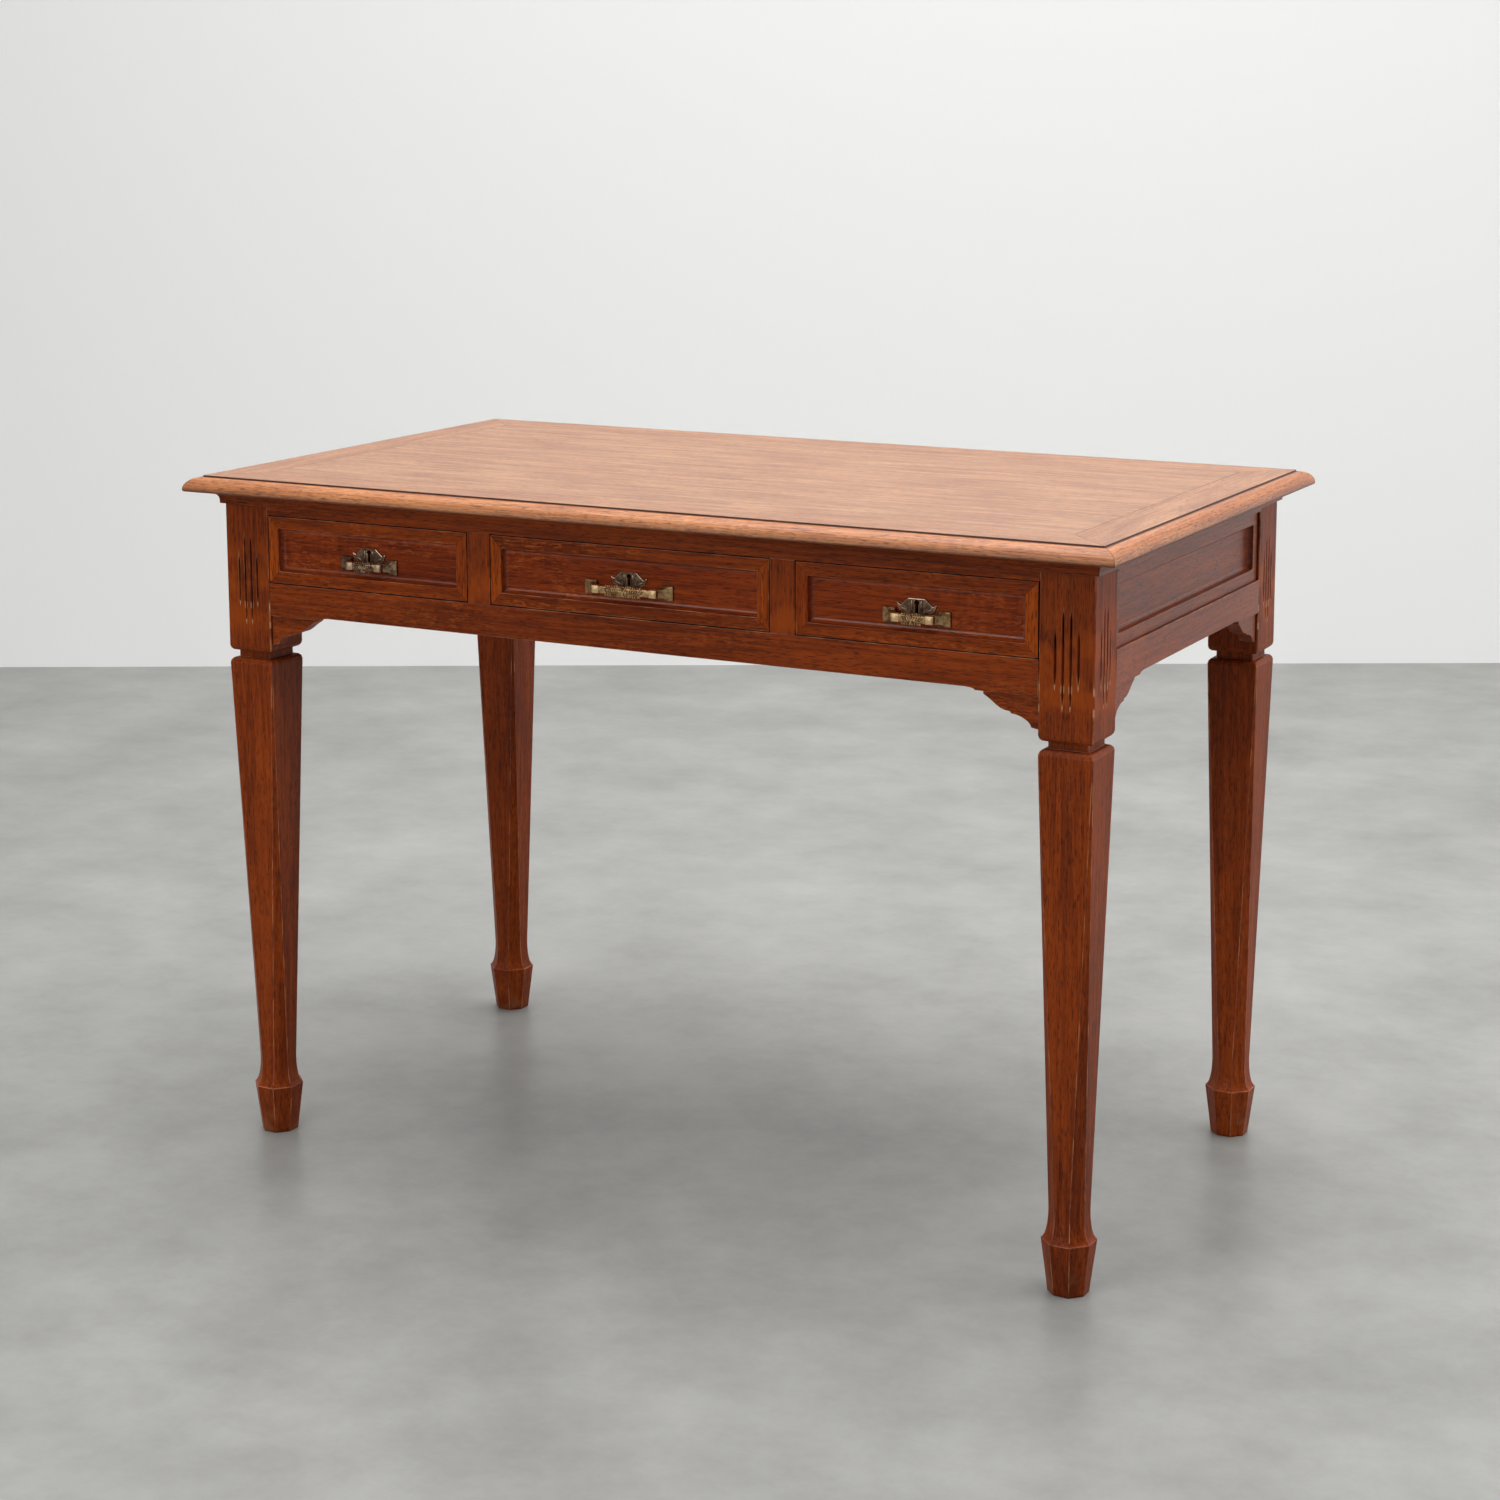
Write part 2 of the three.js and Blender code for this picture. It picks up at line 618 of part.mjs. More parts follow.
// Left side of a drawer: tails in front, a groove for the bottom board inside.
function drawerSide(drawer) {
  const outer = drawer.x0 + SIDE_GAP;
  const inner = outer + SIDE_THICKNESS;
  const points = [[drawerBack, sideBottom], [drawerBack, sideTop], [frontBack, sideTop]];
  for (const tail of tailOutlines(0).reverse()) {
    points.push(...tail);
  }
  points.push([frontBack, sideBottom]);
  const board = alongX(polygon(points.reverse()), outer, inner);
  const groove = block(inner - GROOVE_DEPTH - JOINT_GAP, inner + CUT_SPARE,
    frontBack - TAIL_LENGTH - CUT_SPARE, drawerBack + CUT_SPARE,
    grooveBottom - JOINT_GAP, grooveBottom + BOTTOM_THICKNESS + JOINT_GAP);
  return cut(board, [groove]);
}

function acrossDrawer(drawer, geometry) {
  return mirrored(geometry, (x, y, z) => [drawer.x0 + drawer.x1 - x, y, z]);
}

function drawerEnd(drawer) {
  const inset = SIDE_GAP + SIDE_THICKNESS;
  return block(drawer.x0 + inset, drawer.x1 - inset, drawerBack - SIDE_THICKNESS, drawerBack,
    grooveBottom + BOTTOM_THICKNESS + JOINT_GAP, sideTop - BACK_DROP);
}

function drawerBottom(drawer) {
  const inset = SIDE_GAP + SIDE_THICKNESS - GROOVE_DEPTH;
  return block(drawer.x0 + inset, drawer.x1 - inset, frontBack, drawerBack,
    grooveBottom, grooveBottom + BOTTOM_THICKNESS);
}

// ---------------------------------------------------------------- locks

function boltBounds(drawer, grow) {
  const half = BOLT_WIDTH / 2 + grow;
  const middle = frontBack - LOCK_DEPTH / 2;
  const reach = BOLT_DEPTH / 2 + grow;
  return [middleX(drawer) - half, middleX(drawer) + half, middle - reach, middle + reach];
}

function lockCase(drawer) {
  const [x0, x1, z0] = lockBounds(drawer, 0);
  const slot = block(...boltBounds(drawer, BOLT_FIT),
    frontTop - BOLT_HEIGHT - BOLT_FIT, frontTop + CUT_SPARE);
  const keyway = keyholeCutter(drawer, frontBack - LOCK_DEPTH - CUT_SPARE, frontBack - LOCK_DEPTH / 2);
  return cut(block(x0, x1, frontBack - LOCK_DEPTH, frontBack, z0, frontTop), [slot, keyway]);
}

function lockBolt(drawer) {
  return block(...boltBounds(drawer, 0), frontTop - BOLT_HEIGHT, frontTop);
}

function strikeHole(drawer) {
  return block(...boltBounds(drawer, STRIKE_FIT),
    openingTop - CUT_SPARE, frontTop + BOLT_TRAVEL + STRIKE_FIT);
}

// ---------------------------------------------------------------- brass fittings

// Cartouche plate: a half octagon above, a pointed wing on each side, tapering below.
// Its corners are shares of the half width and the half height.
function escutcheon(drawer) {
  const W = ESCUTCHEON_WIDTH / 2;
  const H = ESCUTCHEON_HEIGHT / 2;
  const right = [
    [0.42 * W, H],
    [0.72 * W, 0.37 * H],
    [0.8 * W, 0.23 * H],
    [W, 0.48 * H],
    [0.93 * W, 0.05 * H],
    [0.88 * W, -0.32 * H],
    [0.48 * W, -0.8 * H],
    [0.16 * W, -H],
  ];
  const left = right.map(([u, v]) => [-u, v]).reverse();
  const shape = polygon([...right, ...left].reverse());
  const place = (u, v, w) => [middleX(drawer) + u, w, panelMiddle + v];
  const plate = extrude(shape, recessFace, recessFace - ESCUTCHEON_THICKNESS, place);
  const front = recessFace - ESCUTCHEON_THICKNESS - CUT_SPARE;
  return cut(plate, [keyholeCutter(drawer, front, recessFace + CUT_SPARE)]);
}

// Rectangle across Y and Z with trimmed corners, at a place along X.
function barSection(x, y, z, halfDepth, halfHeight, trim) {
  const a = halfDepth - trim;
  const b = halfHeight - trim;
  const corners = [
    [-halfDepth, -b], [-a, -halfHeight], [a, -halfHeight], [halfDepth, -b],
    [halfDepth, b], [a, halfHeight], [-a, halfHeight], [-halfDepth, b],
  ];
  return corners.map(([v, w]) => [x, y + v, z + w]);
}

// Bar pull: a bar that swells to a boss in the middle, held off by two flared square posts.
function pull(drawer) {
  const x = middleX(drawer);
  const plate = (drawer.pull - PULL_PLATE_WIDTH) / 2;
  const neck = plate - PULL_LEAN;
  const end = neck + PULL_NECK / 2;
  const boss = drawer.boss / 2;
  const barY = recessFace - PULL_STANDOFF - PULL_BAR_DEPTH / 2;
  const bossY = recessFace - PULL_STANDOFF - PULL_BOSS_DEPTH / 2;
  const bar = (offset) => barSection(x + offset, barY, pullZ,
    PULL_BAR_DEPTH / 2, PULL_BAR_HEIGHT / 2, PULL_BAR_TRIM);
  const swell = (offset) => barSection(x + offset, bossY, pullZ,
    PULL_BOSS_DEPTH / 2, PULL_BOSS_HEIGHT / 2, PULL_BOSS_TRIM);
  const pieces = [loft([
    bar(-end),
    bar(-boss - PULL_BOSS_EASE),
    swell(-boss + PULL_BOSS_EASE),
    swell(boss - PULL_BOSS_EASE),
    bar(boss + PULL_BOSS_EASE),
    bar(end),
  ])];
  const plateFace = recessFace - PULL_PLATE_THICKNESS;
  const square = (middle, w, h, y) => [
    [x + middle - w / 2, y, pullZ - h / 2], [x + middle - w / 2, y, pullZ + h / 2],
    [x + middle + w / 2, y, pullZ + h / 2], [x + middle + w / 2, y, pullZ - h / 2],
  ];
  for (const side of [-1, 1]) {
    const foot = side * plate;
    pieces.push(loft([
      square(side * neck, PULL_NECK, PULL_BAR_HEIGHT - PULL_BAR_TRIM, barY),
      square(side * neck, PULL_NECK, PULL_BAR_HEIGHT, recessFace - PULL_STANDOFF),
      square(foot, PULL_PLATE_WIDTH - 2 * PULL_FLARE, PULL_PLATE_HEIGHT - 2 * PULL_FLARE, plateFace),
      square(foot, PULL_PLATE_WIDTH, PULL_PLATE_HEIGHT, plateFace),
      square(foot, PULL_PLATE_WIDTH, PULL_PLATE_HEIGHT, recessFace),
    ]));
  }
  return join(pieces);
}

// ---------------------------------------------------------------- the desk

const desk = new THREE.Group();

function add(name, geometry, material) {
  const mesh = new THREE.Mesh(geometry, material);
  mesh.name = name;
  desk.add(mesh);
}

function addTop() {
  add('top_field', topField(), oak(OAK_TOP));
  const borders = mitredFrame(borderOutline(), LENGTH, DEPTH);
  const beds = mitredFrame(bedOutline(), 2 * (blockX + BED_REACH), 2 * (blockY + BED_REACH));
  for (const side of ['front', 'back', 'left', 'right']) {
    add(`top_border_${side}`, borders[side], oak(OAK_NOSING));
    add(`cove_moulding_${side}`, beds[side], oak(OAK_FRAME));
  }
}

function addLegs() {
  const leg = legShape();
  add('leg_back_right', leg, oak(OAK_FRAME));
  add('leg_back_left', mirrorX(leg), oak(OAK_FRAME));
  add('leg_front_right', mirrorY(leg), oak(OAK_FRAME));
  add('leg_front_left', mirrorX(mirrorY(leg)), oak(OAK_FRAME));
}

function addFrieze() {
  add('front_top_rail', frontTopRail(), oak(OAK_FRAME));
  add('front_lower_rail', frontLowerRail(), oak(OAK_FRAME));
  add('back_panel', backPanel(), oak(OAK_FRAME));
  const pairs = {
    divider: [divider(), OAK_FRAME],
    side_panel: [sidePanel(), OAK_FRONT],
    side_lower_rail: [sideRail(), OAK_FRAME],
    bracket_front: [frontBracket(), OAK_FRAME],
    bracket_side_back: [sideBracket(), OAK_FRAME],
    bracket_side_front: [mirrorY(sideBracket()), OAK_FRAME],
    middle_runner: [middleRunner(), OAK_INSIDE],
    outer_runner: [outerRunner(), OAK_INSIDE],
  };
  for (const [name, [geometry, color]] of Object.entries(pairs)) {
    add(`${name}_right`, geometry, oak(color));
    add(`${name}_left`, mirrorX(geometry), oak(color));
  }
}

function addDrawers() {
  for (const drawer of drawers) {
    const side = drawerSide(drawer);
    const name = `drawer_${drawer.name}`;
    add(`${name}_front`, drawerFront(drawer), oak(OAK_FRONT));
    add(`${name}_side_left`, side, oak(OAK_INSIDE));
    add(`${name}_side_right`, acrossDrawer(drawer, side), oak(OAK_INSIDE));
    add(`${name}_back`, drawerEnd(drawer), oak(OAK_INSIDE));
    add(`${name}_bottom`, drawerBottom(drawer), oak(OAK_INSIDE));
    add(`${name}_pull`, pull(drawer), cast(BRASS));
    add(`${name}_escutcheon`, escutcheon(drawer), cast(BRONZE));
    add(`${name}_lock`, lockCase(drawer), cast(LOCK_BRASS));
    add(`${name}_bolt`, lockBolt(drawer), cast(LOCK_BRASS));
  }
}

addTop();
addLegs();
addFrieze();
addDrawers();

export default desk;
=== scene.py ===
# Writing desk with three frieze drawers, in stained oak with cast brass pulls and pierced key plates.
# Metres, in the frame of the CAD model: +Z up, the drawers face -Y, the origin is on the floor
# under the middle of the top.

import math
import random

import bmesh
import bpy
from mathutils import Matrix, Vector


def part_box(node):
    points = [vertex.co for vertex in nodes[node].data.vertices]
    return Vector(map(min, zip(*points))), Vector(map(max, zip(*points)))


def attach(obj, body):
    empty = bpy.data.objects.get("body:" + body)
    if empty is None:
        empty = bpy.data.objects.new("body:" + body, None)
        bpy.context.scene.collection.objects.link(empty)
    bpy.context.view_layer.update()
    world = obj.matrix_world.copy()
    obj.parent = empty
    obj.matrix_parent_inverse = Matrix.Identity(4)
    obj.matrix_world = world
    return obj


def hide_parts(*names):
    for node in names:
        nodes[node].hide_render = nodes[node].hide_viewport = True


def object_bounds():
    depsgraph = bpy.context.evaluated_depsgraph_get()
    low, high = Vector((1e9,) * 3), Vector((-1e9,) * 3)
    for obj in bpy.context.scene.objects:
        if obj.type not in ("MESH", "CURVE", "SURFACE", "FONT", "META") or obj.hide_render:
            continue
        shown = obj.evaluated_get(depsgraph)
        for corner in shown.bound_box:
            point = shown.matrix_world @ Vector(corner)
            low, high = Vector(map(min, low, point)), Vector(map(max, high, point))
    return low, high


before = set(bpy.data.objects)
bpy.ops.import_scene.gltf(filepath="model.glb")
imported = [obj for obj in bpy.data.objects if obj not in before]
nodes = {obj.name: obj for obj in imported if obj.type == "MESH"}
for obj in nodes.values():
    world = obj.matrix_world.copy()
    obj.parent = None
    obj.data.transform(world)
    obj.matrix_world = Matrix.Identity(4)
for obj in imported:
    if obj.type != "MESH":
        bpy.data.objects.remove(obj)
cad_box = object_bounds()
MM = 0.001


# ---- Studio
# A grey painted floor, and a plain light wall some way behind the desk that can be seen through from
# its far side. The wood takes a soft sheen from them. They aren't part of the desk.

FLOOR_HALF_SIZE = 12
FLOOR_DARK = "#80807d"
FLOOR_PALE = "#a3a3a0"
FLOOR_CLOUD = 250 * MM
WALL_HALF_SIZE = 6
WALL_DISTANCE = 2.65
WALL_WHITE = "#dededd"
WALL_GLOW_HEIGHT = 2.0
ROOM_LIGHT = "#6e6e6e"
ROOM_SEEN = "#e4e4e4"
CAMERA_YAW = math.radians(28.06)
CAMERA_PITCH = math.radians(8.93)
CAMERA_ROLL = math.radians(-0.16)
CAMERA_PLACE = Vector((1.4995, -2.8168, 1.2117))
LENS_LENGTH = 68.9652
SENSOR_WIDTH = 36.0
LENS_SHIFT = -0.15
SHARP_ANGLE = math.radians(32)


def linear(hex_colour):
    """An sRGB hex colour as the linear RGBA that a socket takes."""
    parts = [int(hex_colour[i : i + 2], 16) / 255 for i in (1, 3, 5)]
    return [c / 12.92 if c <= 0.04045 else ((c + 0.055) / 1.055) ** 2.4 for c in parts] + [1.0]


def wire(node, links):
    """Gives each socket of a node a value, another node's output, or a node's first output in use."""
    for socket, value in links.items():
        if isinstance(value, bpy.types.Node):
            value = next(output for output in value.outputs if output.enabled)
        if isinstance(value, bpy.types.NodeSocket):
            node.id_data.links.new(value, node.inputs[socket])
        else:
            node.inputs[socket].default_value = value


def add_node(tree, kind, links=None, **settings):
    """Adds a node with its settings and its links."""
    node = tree.nodes.new("ShaderNode" + kind)
    for name, value in settings.items():
        setattr(node, name, value)
    wire(node, links or {})
    return node


def new_material(name, constants):
    """A material with its tree and its shader, whose constant sockets are set."""
    material = bpy.data.materials.new(name)
    material.use_nodes = True
    surface = material.node_tree.nodes["Principled BSDF"]
    wire(surface, constants)
    return material, material.node_tree, surface


def new_piece(name, mesh, materials, smooth=False):
    """Turns a finished bmesh into an object with its materials."""
    data = bpy.data.meshes.new(name)
    mesh.to_mesh(data)
    mesh.free()
    for material in materials:
        data.materials.append(material)
    if smooth:
        data.shade_smooth()
        data.set_sharp_from_angle(angle=SHARP_ANGLE)
    piece = bpy.data.objects.new(name, data)
    bpy.context.scene.collection.objects.link(piece)
    return piece


# Satin floor paint on concrete, clouded by wear, so it gives a soft, uneven reflection.
floor_paint, tree, surface = new_material("painted floor", {"Roughness": 0.38, "IOR": 1.45})
point = add_node(tree, "TexCoord").outputs["Object"]
clouds = {"Vector": point, "Scale": 1 / FLOOR_CLOUD, "Detail": 9.0, "Roughness": 0.7}
clouds = add_node(tree, "TexNoise", clouds)
clouds = add_node(tree, "MapRange", {"Value": clouds, "From Min": 0.26, "From Max": 0.74})
shade = {0: clouds, 6: linear(FLOOR_DARK), 7: linear(FLOOR_PALE)}
wire(surface, {"Base Color": add_node(tree, "Mix", shade, data_type="RGBA")})

# Matt white emulsion, with a faint glow of its own that fades upwards, for the light of the room.
wall_paint, tree, surface = new_material(
    "painted wall",
    {"Roughness": 0.8, "Base Color": linear(WALL_WHITE), "Emission Color": linear(WALL_WHITE)},
)
point = add_node(tree, "TexCoord").outputs["Object"]
height = add_node(tree, "SeparateXYZ", {0: point}).outputs["Z"]
glow = {"Value": height, "From Max": WALL_GLOW_HEIGHT, "To Min": 0.2, "To Max": 0.04}
wire(surface, {"Emission Strength": add_node(tree, "MapRange", glow)})
behind = add_node(tree, "NewGeometry").outputs["Backfacing"]
clear = add_node(tree, "BsdfTransparent")
one_sided = add_node(tree, "MixShader", {0: behind, 1: surface, 2: clear})
wire(tree.nodes["Material Output"], {"Surface": one_sided})

mesh = bmesh.new()
bmesh.ops.create_grid(mesh, x_segments=1, y_segments=1, size=FLOOR_HALF_SIZE)
floor = new_piece("floor", mesh, [floor_paint])

mesh = bmesh.new()
bmesh.ops.create_grid(mesh, x_segments=1, y_segments=1, size=WALL_HALF_SIZE)
bmesh.ops.rotate(mesh, verts=mesh.verts, matrix=Matrix.Rotation(math.radians(90), 3, "X"))
bmesh.ops.translate(mesh, verts=mesh.verts, vec=(0, WALL_DISTANCE, WALL_HALF_SIZE))
bmesh.ops.rotate(mesh, verts=mesh.verts, matrix=Matrix.Rotation(CAMERA_YAW, 3, "Z"))
wall = new_piece("wall", mesh, [wall_paint])

camera = bpy.data.objects.new("camera", bpy.data.cameras.new("camera"))
camera.data.sensor_width = SENSOR_WIDTH
camera.data.lens = LENS_LENGTH
camera.data.shift_y = LENS_SHIFT
backwards = Vector(
    (
        math.sin(CAMERA_YAW) * math.cos(CAMERA_PITCH),
        -math.cos(CAMERA_YAW) * math.cos(CAMERA_PITCH),
        math.sin(CAMERA_PITCH),
    )
)
aim = (-backwards).to_track_quat("-Z", "Y")
camera.rotation_mode = "QUATERNION"
camera.rotation_quaternion = aim @ Matrix.Rotation(CAMERA_ROLL, 3, "Z").to_quaternion()
camera.location = CAMERA_PLACE
bpy.context.scene.collection.objects.link(camera)
bpy.context.scene.camera = camera

# Colours come out as their hex values say.
bpy.context.scene.view_settings.view_transform = "Standard"

world = bpy.data.worlds.new("room")
world.use_nodes = True
bpy.context.scene.world = world
tree = world.node_tree
seen = add_node(tree, "LightPath").outputs["Is Camera Ray"]
room = {0: seen, 6: linear(ROOM_LIGHT), 7: linear(ROOM_SEEN)}
wire(tree.nodes["Background"], {"Color": add_node(tree, "Mix", room, data_type="RGBA")})


def softbox(name, place, target, size, watts):
    """A square lamp that faces a point."""
    lamp = bpy.data.lights.new(name, "AREA")
    lamp.size = size
    lamp.energy = watts
    holder = bpy.data.objects.new(name, lamp)
    holder.location = place
    holder.rotation_mode = "QUATERNION"
    holder.rotation_quaternion = (Vector(target) - Vector(place)).to_track_quat("-Z", "Y")
    bpy.context.scene.collection.objects.link(holder)


softbox("ceiling light", place=(0.3, 0.2, 3.6), target=(0.2, 0.1, 0), size=4.0, watts=215)
softbox("front fill", place=(-1.5, -4.5, 2.2), target=(0, 0, 0.4), size=3.0, watts=60)
softbox("side light", place=(4.2, 1.6, 1.8), target=(0.4, 0, 0.7), size=3.0, watts=50)
softbox("window", place=(2.3, 3.1, 1.2), target=(0.5, 0, 0.7), size=2.4, watts=13)


# ---- Stained oak
# European oak, planed, stained red brown and waxed. Year rings and open pores give dark streaks along
# the grain, boards cut near the quarter show silky flecks across it, and painted shade darkens the
# corners and joints.

# Painted shade for corners and joints, and also the dirt of the mitre lines.
SHADE_AND_DIRT = "#190a05"
PORE = "#2a0e05"
WORN = "#c37a48"
CHIPPED = "#d8ac80"
WARM = "#b5500f"
SCUFFED = "#8f5f42"
FRAME_TONES = {"deep": "#68280b", "pale": "#a54712"}

# Length along the grain and width across it, in millimetres. Real pores are about 0.3 mm wide, and are
# drawn coarser so that they show.
BOARD_DRIFT = (420, 48)
YEAR_RINGS = (110, 4.2)
FIBRES = (38, 1.5)
PORES = (11, 1.0)
QUARTERED = (160, 40)
CROSS_BARS = (6, 45)
FLECKS = (13, 3.4)

# How much of the tone each layer makes.
RING_SHARE = 0.55
FIBRE_SHARE = 0.35
BAR_SHARE = 0.55

PORE_DEPTH = 0.15 * MM
WORN_PATCH = 24 * MM
BLOTCH = 30 * MM

# Heights on the legs.
WARM_ZONE = (578 * MM, 610 * MM, 660 * MM, 725 * MM)
SCUFF_TOP = 36 * MM
SCUFF_WORST = 4 * MM
CUT_LOW_ENDS = (623.2 * MM, 602.7 * MM)
CHIP_REACH = 5 * MM


def soft_step(tree, value, start, end):
    """Runs from 0 to 1 as the value goes from start to end."""
    links = {"Value": value, "From Min": start, "From Max": end}
    return add_node(tree, "MapRange", links, interpolation_type="SMOOTHSTEP")


def between(tree, value, start, full, fade, end):
    """Is 1 from full to fade, and 0 before start and past end."""
    rise = soft_step(tree, value, start, full)
    fall = soft_step(tree, value, end, fade)
    return add_node(tree, "Math", {0: rise, 1: fall}, operation="MULTIPLY")


def part_of(tree, share, amount):
    """A share made weaker by an amount, or by another share."""
    return add_node(tree, "Math", {0: share, 1: amount}, operation="MULTIPLY")


def cover(tree, share, under, over):
    """Lays one colour over another; each is a hex colour or a node."""
    ends = [linear(colour) if isinstance(colour, str) else colour for colour in (under, over)]
    return add_node(tree, "Mix", {0: share, 6: ends[0], 7: ends[1]}, data_type="RGBA")


def patches(tree, size, detail, start, end):
    """Ragged patches of about a size, which is in metres."""
    point = add_node(tree, "TexCoord").outputs["Object"]
    noise = add_node(tree, "TexNoise", {"Vector": point, "Scale": 1 / size, "Detail": detail})
    return soft_step(tree, noise, start, end)


def place(tree):
    """The X, Y and Z of the point of the piece."""
    point = add_node(tree, "TexCoord").outputs["Object"]
    return add_node(tree, "SeparateXYZ", {0: point}).outputs


def distance(tree, value, middle):
    """How far a value is from a middle, whichever way."""
    apart = add_node(tree, "Math", {0: value, 1: middle}, operation="SUBTRACT")
    return add_node(tree, "Math", {0: apart}, operation="ABSOLUTE")


def oak_layers(
    tree, grain, deep, pale, fleck, seed, figure=0.0, pore=PORE, broad=0.45, drift=BOARD_DRIFT
):
    """The colour, pores and fibre of oak; deep and pale are the tones in and between year rings."""
    point = add_node(tree, "TexCoord").outputs["Object"]

    def along_grain(size, detail, bend):
        length, width = size
        scale = [1 / (width * MM)] * 3
        scale["XYZ".index(grain)] = 1 / (length * MM)
        where = add_node(tree, "Mapping", {0: point, "Location": (seed,) * 3, "Scale": scale})
        noise = {"Vector": where, "Scale": 1.0, "Detail": detail, "Distortion": bend}
        return add_node(tree, "TexNoise", noise)

    board = along_grain(drift, 2, 0.4)
    rings = along_grain(YEAR_RINGS, 3, 0.7)
    fibre = along_grain(FIBRES, 2, 0)
    pores = soft_step(tree, along_grain(PORES, 1, 0), 0.54, 0.68)
    quarter = soft_step(tree, along_grain(QUARTERED, 1, 0), 0.42, 0.6)
    bars = add_node(tree, "Math", {0: along_grain(CROSS_BARS, 1, 0.6), 1: 0.5}, operation="SUBTRACT")
    bars = part_of(tree, bars, quarter)
    tone = part_of(tree, board, broad)
    for layer, share in ((rings, RING_SHARE), (fibre, FIBRE_SHARE), (bars, BAR_SHARE * figure)):
        tone = add_node(tree, "Math", {0: layer, 1: share, 2: tone}, operation="MULTIPLY_ADD")
    middle = (broad + RING_SHARE + FIBRE_SHARE) / 2
    colour = cover(tree, soft_step(tree, tone, middle - 0.21, middle + 0.24), deep, pale)
    colour = cover(tree, part_of(tree, pores, 0.6), colour, pore)
    if figure:
        silk = soft_step(tree, along_grain(FLECKS, 2, 1.1), 0.54, 0.64)
        silk = part_of(tree, part_of(tree, silk, quarter), figure)
        colour = cover(tree, silk, colour, fleck)
    return colour, pores, fibre


def repaint(material, share, colour):
    """Lays another colour over part of a material."""
    surface = material.node_tree.nodes["Principled BSDF"]
    base = surface.inputs["Base Color"].links[0].from_node
    wire(surface, {"Base Color": cover(material.node_tree, share, base, colour)})


def oak(name, grain, deep, pale, fleck="#c0602a", gloss=0.12, rough=0.42, **layers):
    """Oak with its grain along one axis; gloss is its specular level."""
    material, tree, surface = new_material(name, {"IOR": 1.5, "Specular IOR Level": gloss})
    colour, pores, fibre = oak_layers(tree, grain, deep, pale, fleck, **layers)
    polish = {"Value": fibre, "To Min": rough - 0.08, "To Max": rough + 0.08}
    sunk = add_node(tree, "Math", {0: pores, 1: -1.0}, operation="MULTIPLY")
    relief = add_node(tree, "Math", {0: fibre, 1: 0.5, 2: sunk}, operation="MULTIPLY_ADD")
    bump = {"Height": relief, "Strength": 0.4, "Distance": PORE_DEPTH}
    wire(
        surface,
        {
            "Base Color": colour,
            "Roughness": add_node(tree, "MapRange", polish),
            "Normal": add_node(tree, "Bump", bump),
        },
    )
    return material


def paint_corner_shade(material, reach):
    """Paints shade into the corners and joints of a material, as far out as the reach goes."""
    # Painted shade: occlusion darkens the colour wherever geometry closes in.
    corner = add_node(material.node_tree, "AmbientOcclusion", {"Distance": reach}, samples=8)
    corner_shade = soft_step(material.node_tree, corner.outputs["AO"], 0.72, 0.22)
    repaint(material, corner_shade, SHADE_AND_DIRT)


def dress(names, materials, width):
    """Gives CAD pieces their wood and breaks their arrises, which have worn paler."""
    for name in names:
        piece = nodes[name]
        piece.data.materials.clear()
        for material in materials:
            piece.data.materials.append(material)
        weld = piece.modifiers.new("whole", "WELD")
        weld.merge_threshold = 0.01 * MM
        flats = piece.modifiers.new("flats", "DECIMATE")
        flats.decimate_type = "DISSOLVE"
        flats.angle_limit = math.radians(0.4)
        arris = piece.modifiers.new("arris", "BEVEL")
        arris.width = width
        arris.segments = 2
        arris.limit_method = "ANGLE"
        arris.angle_limit = math.radians(40)
        arris.material = len(materials) - 1
        piece.data.shade_flat()


stained = {}
for word, grain, seed, figure in (
    ("upright", "Z", 0.31, 0.15),
    ("lengthwise", "X", 1.27, 0.3),
    ("depthwise", "Y", 2.13, 0.15),
):
    # The side pieces have kept more of their wax, so they shine more.
    gloss = 0.5 if grain == "Y" else 0.12
    board = oak(
        f"stained oak, {word}", grain, **FRAME_TONES, gloss=gloss, seed=seed, figure=figure
    )
    worn = oak(f"worn oak, {word}", grain, **FRAME_TONES, gloss=0.5, rough=0.36, seed=seed)
    rubbed = patches(worn.node_tree, WORN_PATCH, 3.0, 0.46, 0.66)
    repaint(worn, part_of(worn.node_tree, rubbed, 0.85), WORN)
    # Painted shade darkens the corners and joints of both.
    paint_corner_shade(board, 7 * MM)
    paint_corner_shade(worn, 3 * MM)
    stained[grain] = [board, worn]

# The legs are warmer round the cuts, and scuffed pale just above the floor.
upright = stained["Z"][0]
tree = upright.node_tree
height = place(tree)["Z"]
round_cuts = between(tree, height, *WARM_ZONE)
warm = part_of(tree, round_cuts, patches(tree, BLOTCH, 3.0, 0.4, 0.62))
repaint(upright, part_of(tree, warm, 0.55), WARM)
near_floor = soft_step(tree, height, SCUFF_TOP, SCUFF_WORST)
scuffed = part_of(tree, near_floor, patches(tree, BLOTCH, 3.0, 0.5, 0.62))
repaint(upright, part_of(tree, scuffed, 0.5), SCUFFED)

# Bare wood shows where the lower ends of the cuts have chipped.
worn = stained["Z"][1]
tree = worn.node_tree
height = place(tree)["Z"]
for low_end in CUT_LOW_ENDS:
    chipped = soft_step(tree, distance(tree, height, low_end), CHIP_REACH, CHIP_REACH / 2)
    repaint(worn, part_of(tree, chipped, 0.8), CHIPPED)


# ---- Frame
# Four square legs, cut by hand to a neck, a tapered shank and an eight-sided foot, with V cuts in
# their outer faces. The rails, panels and dividers between them are tenoned into the blocks.

